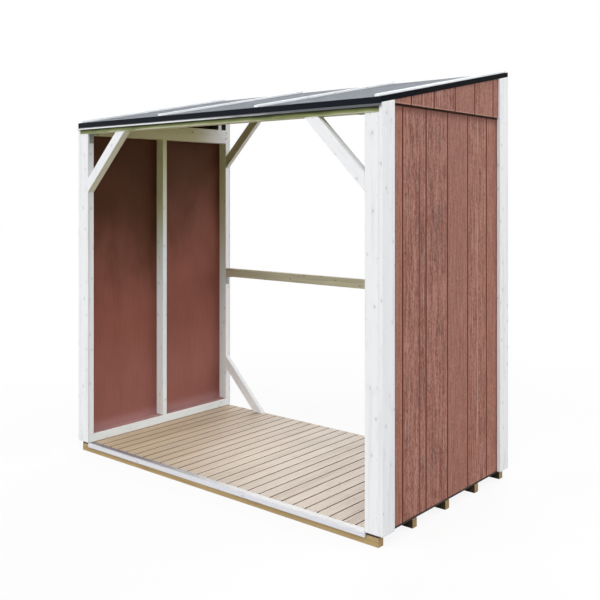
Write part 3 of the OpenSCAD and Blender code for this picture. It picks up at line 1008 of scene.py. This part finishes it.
@dataclass
class SlatFloor:
    """Bearers, deck boards and front sill."""

    nail_radius: float = 0.0026
    nail_height: float = 0.0005
    nail_inset: float = 0.018
    nail_jitter: tuple[float, float] = (0.002, 0.003)
    end_inset: float = 0.012
    board_edge: float = 0.0012
    bearer_edge: float = 0.0015
    sill_edge: float = 0.0015
    edge_width: float = 0.072

    def build(self) -> None:
        """Make the floor's pieces."""
        self.bearers()
        self.boards()
        self.sill()
        self.nails()

    def bearers(self) -> None:
        """Dress the bearers; the sides that face each other under the floor get painted shade."""
        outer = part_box("bearers")[1].y - self.bearer_edge

        def pick(face: Face) -> int:
            """Open faces 0, sides under the floor 1."""
            return int(abs(face.normal.y) > FACING and abs(face.calc_center_median().y) < outer)

        dressed("floor_bearers", "bearers", BEARER, BEARER_SIDE_SHADE, slot="bearer_wood", edge=self.bearer_edge, pick=pick)

    def boards(self) -> None:
        """Dress the deck boards; their sides in the gaps and the outer edges under the walls get painted shade."""
        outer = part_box("deck_boards")[1].x - self.edge_width

        def pick(face: Face) -> int:
            """Boards 0, sides in the gaps 1, hidden outer edges 2."""
            if abs(face.calc_center_median().x) > outer and face.normal.z < FACING:
                return 2
            return int(abs(face.normal.x) > STEEP)

        dressed("floor_boards", "deck_boards", DECK, DECK_SIDE_SHADE, DECK_EDGE_SHADE, slot="deck_wood", edge=self.board_edge,
                pick=pick)

    def sill(self) -> None:
        """Dress the sill; painted shade lies on the strip behind its front board."""
        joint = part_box("bearers")[0].y

        def pick(face: Face) -> int:
            """Painted wood 0, strip with painted shade 1."""
            return int(face.normal.z > LEVEL and face.calc_center_median().y > joint)

        piece = Piece("floor_sill").copy("front_sill").soften(self.sill_edge)
        bmesh.ops.bisect_plane(piece.bm, geom=everything(piece.bm), plane_co=(0, joint, 0), plane_no=(0, 1, 0))
        piece.lay_grain().dress([WHITE_SILL_SHADED, SILL_LEDGE], "white_timber", ["front_sill"], pick)

    def nails(self) -> None:
        """Nail each board to each bearer with two nails, from left to right and front to back."""
        piece = Piece("floor_nails")
        boards, bearers = (sorted(boxes_of(node), key=lambda box: (box[0].x, box[0].y))
                           for node in ("deck_boards", "bearers"))
        along, across = self.nail_jitter
        for low, high in boards:
            for near, far in bearers:
                y = min(max((near.y + far.y) / 2, low.y + self.end_inset), high.y - self.end_inset)
                for x in (low.x + self.nail_inset, high.x - self.nail_inset):
                    spot = (x + piece.rng.uniform(-along, along), y + piece.rng.uniform(-across, across), high.z)
                    piece.head(Vector(spot), Vector((0, 0, 1)), self.nail_radius, self.nail_height)
        piece.dress([NAIL], "zinc_steel")


@dataclass
class SideWall:
    """One framed side wall with its grooved panels and its gable."""

    side: Side
    edge: float = 0.0018
    panel_edge: float = 0.0010
    groove_depth: float = 0.0015

    def build(self) -> None:
        """Make the wall's pieces."""
        self.studs()
        self.bottom_plate()
        # The timbers under the roof take the olive painted shade; the gable studs' front sides take painted shade.
        for part in ("top_plate", "gable_plate", "gable_rafter"):
            self.timber(part, WHITE_UNDER_ROOF)
        self.timber("gable_studs", WHITE_UNDER_ROOF, GABLE_SHADE, pick=lambda face: int(face.normal.y < -FACING))
        self.panel("wall_panel", SIDING, PANEL_BACK)
        self.panel("gable_panel", SIDING_GABLE, GABLE_BACK_SHADED)
        dressed(self.side.of("wall_seam"), self.side.of("seam_flashing"), SEAM, slot="dark_flashing")

    def timber(self, part: str, *finishes: Finish, pick: Optional[Pick] = None) -> None:
        """Dress one timber of the wall.

        Args:
            part: Which timber.
            *finishes: Its finishes.
            pick: Gives the number of the finish for a face.
        """
        dressed(self.side.of(f"wall_{part}"), self.side.of(part), *finishes, edge=self.edge, pick=pick)

    def studs(self) -> None:
        """Dress the studs; the middle one and the inner side of the back one take painted shade higher up, the other
        faces lit paint.
        """
        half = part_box(self.side.of("studs"))[1].y / 2

        def pick(face: Face) -> int:
            """Lit paint 0, painted shade higher up 1, painted shade higher up in the corners 2."""
            middle = face.calc_center_median()
            if middle.y > -half and face.normal.y < -FACING:
                return 2
            return int(abs(middle.y) < half and face.normal.y < FACING)

        self.timber("studs", WHITE_LIT, WHITE_INSIDE, WHITE_CORNER, pick=pick)

    def bottom_plate(self) -> None:
        """Dress the bottom plate, with a painted reflection of the red panel on its upper face and painted shade on the
        edge below the panel.
        """
        def pick(face: Face) -> int:
            """Lit painted faces 0, upper face with a painted reflection 1, hidden outer and lower faces with painted
            shade 2.
            """
            if face.normal.z > LEVEL:
                return 1
            return 2 if face.normal.x * self.side.sign > FACING or face.normal.z < -FACING else 0

        self.timber("bottom_plate", WHITE_COOL_LIT, LEDGE, DECK_EDGE_SHADE, pick=pick)

    def panel(self, part: str, finish: Finish, inside: Finish) -> None:
        """Dress a grooved panel: pressed grain outside, painted shade in the grooves, smooth inside.

        Args:
            part: Which panel.
            finish: Finish of its outer face.
            inside: Finish of its inner face.
        """
        node = self.side.of(part)
        low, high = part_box(node)
        outer = high.x if self.side is Side.RIGHT else -low.x

        def pick(face: Face) -> int:
            """Outer face 0, inner face 1, grooves 2."""
            if face.normal.x * self.side.sign < -FACING:
                return 1
            return 2 if outer - face.calc_center_median().x * self.side.sign > self.groove_depth else 0

        dressed(self.side.of(f"wall_{part}"), node, finish, inside, SIDING_GROOVE_SHADE, slot="red_siding",
                edge=self.panel_edge, pick=pick)


@dataclass
class CornerBoards:
    """White corner boards of one side."""

    side: Side
    edge: float = 0.0025
    board_width: float = 0.099
    nail_radius: float = 0.0030
    nail_height: float = 0.0004
    nail_step: float = 0.30
    nail_inset: float = 0.012
    end_inset: float = 0.06
    jitter: float = 0.02

    def build(self) -> None:
        """Make the corner boards, with painted light on the edges beside the siding, and their nails."""
        for part in ("front_trim", "back_trim"):
            dressed(self.side.of(f"corner_{part}"), self.side.of(part), WHITE, edge=self.edge)

        def pick(face: Face) -> int:
            """Plain faces 0, edges beside the siding with painted light 1."""
            return int(face.normal.y * math.copysign(1.0, face.calc_center_median().y) < -STEEP)

        dressed(self.side.of("corner_side_trims"), self.side.of("side_trims"), WHITE, WHITE_LIT, edge=self.edge,
                pick=pick)
        self.nails()

    def nails(self) -> None:
        """Nail the corner boards through to the studs, in pairs up each board."""
        piece, inset = Piece(self.side.of("corner_nails")), self.nail_inset
        low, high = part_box(self.side.of("side_trims"))
        rows = self.rows(low.z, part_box(self.side.of("front_trim"))[1].z)
        spots: list[tuple[float, float, float, Vector]] = []
        for part, out in (("front_trim", -1.0), ("back_trim", 1.0)):
            near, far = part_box(self.side.of(part))
            face, away = near.y if out < 0 else far.y, Vector((0, out, 0))
            spots += [(x, face, z, away) for z in rows for x in (near.x + inset, far.x - inset)]
        face, away = high.x if self.side is Side.RIGHT else low.x, Vector((self.side.sign, 0, 0))
        for y, turn in ((low.y, 1.0), (high.y, -1.0)):
            spots += [(face, y + turn * step, z, away) for z in rows for step in (inset, self.board_width - inset)]
        for x, y, z, away in spots:
            spot = Vector((x, y, z + piece.rng.uniform(-self.jitter, self.jitter)))
            piece.head(spot, away, self.nail_radius, self.nail_height)
        piece.dress([PAINTED_NAIL], "zinc_steel")

    def rows(self, low: float, high: float) -> list[float]:
        """Space the nails evenly up a board.

        Args:
            low: Lower end of the board.
            high: Upper end of the board.

        Returns:
            Heights of the nails.
        """
        count = round((high - low) / self.nail_step)
        step = (high - low - 2 * self.end_inset) / count
        return [low + self.end_inset + step * i for i in range(count + 1)]


def brace_side(face: Face) -> int:
    """Upright faces 0, lower sides 1, upper sides 2."""
    return 1 if face.normal.z < -LEANING else 2 if face.normal.z > LEANING else 0


@dataclass
class FrontFrame:
    """Header, fascia and knee braces of the open front."""

    edge: float = 0.0020

    def build(self) -> None:
        """Make the front's pieces."""
        # The header takes the olive painted shade under the roof.
        dressed("front_frame_header", "front_header", WHITE_UNDER_ROOF, edge=self.edge)
        dressed("front_frame_fascia", "front_fascia", FASCIA, edge=self.edge)
        # Painted shade on the braces' lower sides and painted light on their upper sides.
        dressed("front_frame_braces", "front_braces", WHITE, WHITE_BRACE_SHADED, WHITE_LIT, edge=self.edge, pick=brace_side)


@dataclass
class BackFrame:
    """Header, rail and knee braces of the open back."""

    edge: float = 0.0020

    def build(self) -> None:
        """Make the back's pieces."""
        for part in ("header", "rail"):
            dressed(f"back_frame_{part}", f"back_{part}", TREATED, edge=self.edge)
        # The upper braces take painted light on their lower sides; the lower braces take lit paint all round.
        for part, finishes in (("upper_braces", (OLIVE, OLIVE_LIT, OLIVE)), ("lower_braces", (WHITE_LIT,) * 3)):
            dressed(f"back_frame_{part}", f"back_{part}", *finishes, edge=self.edge, pick=brace_side)


@dataclass
class Brackets:
    """Folded steel brackets under the front header and the back rail."""

    edge: float = 0.0006
    sheet: float = 0.002
    screw_radius: float = 0.0042
    screw_height: float = 0.0016
    screw_sides: int = 10
    screw_places: tuple[float, ...] = (0.022, 0.044)

    def build(self) -> None:
        """Make the brackets and their screws."""
        dressed("steel_brackets", "angle_brackets", ZINC, slot="zinc_steel", edge=self.edge)
        self.screws()

    def screws(self) -> None:
        """Screw each leg of each bracket to its timber."""
        piece = Piece("steel_screws")
        for low, high in boxes_of("angle_brackets"):
            sign = math.copysign(1.0, low.x)
            outer, middle = max(low.x * sign, high.x * sign), (low.y + high.y) / 2
            for away in self.screw_places:
                for x, z, out in ((outer - self.sheet, high.z - away, Vector((-sign, 0, 0))),
                                  (outer - away, high.z - self.sheet, Vector((0, 0, -1)))):
                    piece.head(Vector((sign * x, middle, z)), out, self.screw_radius, self.screw_height,
                               self.screw_sides)
        piece.dress([ZINC], "zinc_steel")


@dataclass
class PentRoof:
    """Boarding, felt, battens and edge flashings of the sloping roof."""

    board_count: int = 23
    overcut: float = 0.01
    edge: float = 0.0016
    sheet_edge: float = 0.0004
    lip_gap: float = 0.001
    lip_tilt: float = -0.2
    nail_count: int = 5
    nail_inset: float = 0.35
    nail_spare: float = 0.3
    nail_radius: float = 0.0032
    nail_height: float = 0.0004

    def build(self) -> None:
        """Make the roof's pieces."""
        self.boards()
        dressed("roof_felt_sheet", "roof_felt", FELT, slot="roof_felt")
        # The battens take the lit paint: painted light.
        dressed("roof_felt_battens", "roof_battens", WHITE_LIT, edge=self.edge)
        # The verges take a darker copy of the flashing: painted shade.
        for node in ("left_verge", "right_verge"):
            self.fold(node, VERGE_SHADED)
        face = -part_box("left_verge")[1].y - self.lip_gap

        def pick(part: Face) -> int:
            """Coated sheet 0, lip of the front flashing with a painted highlight 1."""
            return int(part.calc_center_median().y < face and part.normal.z > self.lip_tilt)

        for node in ("front_flashing", "back_flashing"):
            self.fold(node, FLASHING, HEM, pick=pick)
        self.nails()

    def fold(self, node: str, *finishes: Finish, pick: Optional[Pick] = None) -> None:
        """Dress a folded edge flashing.

        Args:
            node: CAD node of the flashing.
            *finishes: Its finishes.
            pick: Gives the number of the finish for a face.
        """
        dressed(f"roof_{node}", node, *finishes, slot="dark_flashing", edge=self.sheet_edge, segments=1, pick=pick)

    def nails(self) -> None:
        """Nail the battens down along their upper faces."""
        piece, shape = Piece("roof_batten_nails"), Piece("batten_shape").copy("roof_battens")
        for face in [f for f in shape.bm.faces if f.normal.z > LEVEL]:
            ends = sorted((v.co for v in face.verts), key=lambda p: p.y)
            front, back = (ends[0] + ends[1]) / 2, (ends[-1] + ends[-2]) / 2
            for i in range(self.nail_count):
                share = (i + self.nail_inset) / (self.nail_count - self.nail_spare)
                piece.head(front.lerp(back, share), face.normal.copy(), self.nail_radius, self.nail_height)
        shape.bm.free()
        piece.dress([PAINTED_NAIL], "zinc_steel")

    def boards(self) -> None:
        """Saw the boarding into boards that run up the slope."""
        low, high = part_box("roof_boarding")
        step = (high.x - low.x) / self.board_count
        cuts = [low.x + step * i for i in range(self.board_count + 1)]
        cuts[0], cuts[-1] = low.x - self.overcut, high.x + self.overcut
        piece = Piece("roof_boards").copy("roof_boarding").split(Vector((1, 0, 0)), cuts).soften(self.edge)
        piece.lay_grain().dress([ROOF_WOOD], "roof_wood", ["roof_boarding"])


class Lamp(NamedTuple):
    """A broad lamp: its turn from the front towards the right and its height in degrees, and its strength."""

    name: str
    azimuth: float
    height: float
    strength: float


@dataclass
class Studio:
    """Pale floor, soft lights and the camera at the photograph's place."""

    eye: tuple[float, float, float] = (3.214342, -3.651857, 1.580649)
    heading: float = 0.7
    focal_px: float = 832.37
    horizon_px: float = 192.343
    image_px: float = 600.0
    sensor: float = 36.0
    view_end: float = 200.0
    floor_size: float = 60.0
    floor_drop: float = 0.0005
    floor_colour: Colour = (0.50, 0.50, 0.51)
    floor_pale: Colour = (0.95, 0.95, 0.95)
    floor_white: float = 0.88
    shade_from: tuple[float, float] = (0.20, 0.06)
    shade_to: tuple[float, float] = (0.12, 0.0)
    light: Colour = (1.0, 1.0, 1.0)
    fill: float = 0.02
    backdrop: float = 1.0
    lamp_spread: float = 45.0
    lamp_distance: float = 8.0
    lamps: tuple[Lamp, ...] = (
        Lamp("key", 35.0, 50.0, 1.32),
        Lamp("front", 0.0, 22.0, 0.69),
        Lamp("front_left", -35.0, 22.0, 1.18),
        Lamp("left", -70.0, 22.0, 0.29),
        Lamp("right", 70.0, 22.0, 0.34),
        Lamp("side", 110.0, 22.0, 0.89),
        Lamp("back_right", 150.0, 22.0, 1.03),
        Lamp("back_left", -150.0, 22.0, 1.53),
    )

    def build(self) -> None:
        """Set the stage up."""
        self.floor()
        self.world()
        self.lights()
        self.camera()
        bpy.context.scene.view_settings.view_transform = "Standard"

    def floor(self) -> None:
        """Lay a pale floor that looks white and keeps a soft shadow."""
        bm = bmesh.new()
        bmesh.ops.create_grid(bm, x_segments=1, y_segments=1, size=self.floor_size / 2,
                              matrix=Matrix.Translation((0, 0, -self.floor_drop)))
        mesh = bpy.data.meshes.new("studio_floor")
        bm.to_mesh(mesh)
        bm.free()
        obj = bpy.data.objects.new("studio_floor", mesh)
        bpy.context.scene.collection.objects.link(obj)
        material = bpy.data.materials.new("studio_floor")
        material.use_nodes = True
        nodes = Nodes(material.node_tree)
        matt, pale = (nodes.add("ShaderNodeBsdfDiffuse", {"Color": colour}).outputs["BSDF"]
                      for colour in (self.floor_colour, self.floor_pale))
        glow = nodes.add("ShaderNodeEmission").outputs["Emission"]
        camera = nodes.add("ShaderNodeLightPath").outputs["Is Camera Ray"]
        surface = nodes.blend(camera, matt, nodes.blend(self.open_ground(nodes), pale, glow))
        nodes.add("ShaderNodeOutputMaterial", {"Surface": surface})
        mesh.materials.append(material)

    def open_ground(self, nodes: Nodes) -> Socket:
        """Tell the open floor from the floor under the store, which stays in plain shadow.

        Args:
            nodes: Nodes of the floor's material.

        Returns:
            Share of white for the camera.
        """
        place, shares = nodes.place(), []
        for name, reach, start, stop in zip("XY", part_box("bearers")[1], self.shade_from, self.shade_to):
            ends = {"From Min": reach - start, "From Max": reach - stop, "To Max": self.floor_white}
            away = nodes.calc("ABSOLUTE", nodes.axis(place, name))
            shares.append(nodes.add("ShaderNodeMapRange", {"Value": away, **ends}).outputs["Result"])
        return nodes.calc("MAXIMUM", *shares)

    def world(self) -> None:
        """Give an even fill light, and white where the camera or a gloss sees past the store."""
        world = bpy.data.worlds.new("studio_world")
        bpy.context.scene.world = world
        world.use_nodes = True
        nodes = Nodes(world.node_tree)
        path = nodes.add("ShaderNodeLightPath")
        seen = path.outputs["Is Camera Ray"]
        for name in ("Is Glossy Ray", "Is Transmission Ray"):
            seen = nodes.calc("MAXIMUM", seen, path.outputs[name])
        fill, white = (nodes.add("ShaderNodeBackground", {"Color": self.light, "Strength": strength})
                       for strength in (self.fill, self.backdrop))
        sky = nodes.blend(seen, fill.outputs["Background"], white.outputs["Background"])
        nodes.add("ShaderNodeOutputWorld", {"Surface": sky})

    def lights(self) -> None:
        """Hang broad soft lamps round the store."""
        for name, azimuth, height, strength in self.lamps:
            lamp = bpy.data.lights.new(name, "SUN")
            lamp.energy = strength
            lamp.angle = math.radians(self.lamp_spread)
            obj = bpy.data.objects.new(name, lamp)
            turn, lift = math.radians(azimuth), math.radians(height)
            towards = Vector((math.sin(turn) * math.cos(lift), -math.cos(turn) * math.cos(lift), math.sin(lift)))
            obj.rotation_euler = towards.to_track_quat("Z", "Y").to_euler()
            obj.location = towards * self.lamp_distance
            bpy.context.scene.collection.objects.link(obj)

    def camera(self) -> None:
        """Place the level camera, with the shift that the photograph's framing needs."""
        lens = bpy.data.cameras.new("camera")
        lens.sensor_width = self.sensor
        lens.lens = self.focal_px / self.image_px * self.sensor
        lens.shift_y = (self.horizon_px - self.image_px / 2) / self.image_px
        lens.clip_end = self.view_end
        obj = bpy.data.objects.new("camera", lens)
        obj.location = self.eye
        obj.rotation_euler = (math.pi / 2, 0.0, self.heading)
        bpy.context.scene.collection.objects.link(obj)
        bpy.context.scene.camera = obj


def main() -> None:
    """Build the store from the ground up, then the studio."""
    logging.basicConfig(level=logging.INFO, format="%(name)s: %(message)s")
    SlatFloor().build()
    for side in Side:
        SideWall(side).build()
        CornerBoards(side).build()
    FrontFrame().build()
    BackFrame().build()
    Brackets().build()
    PentRoof().build()
    Studio().build()


if __name__ == "__main__":
    main()
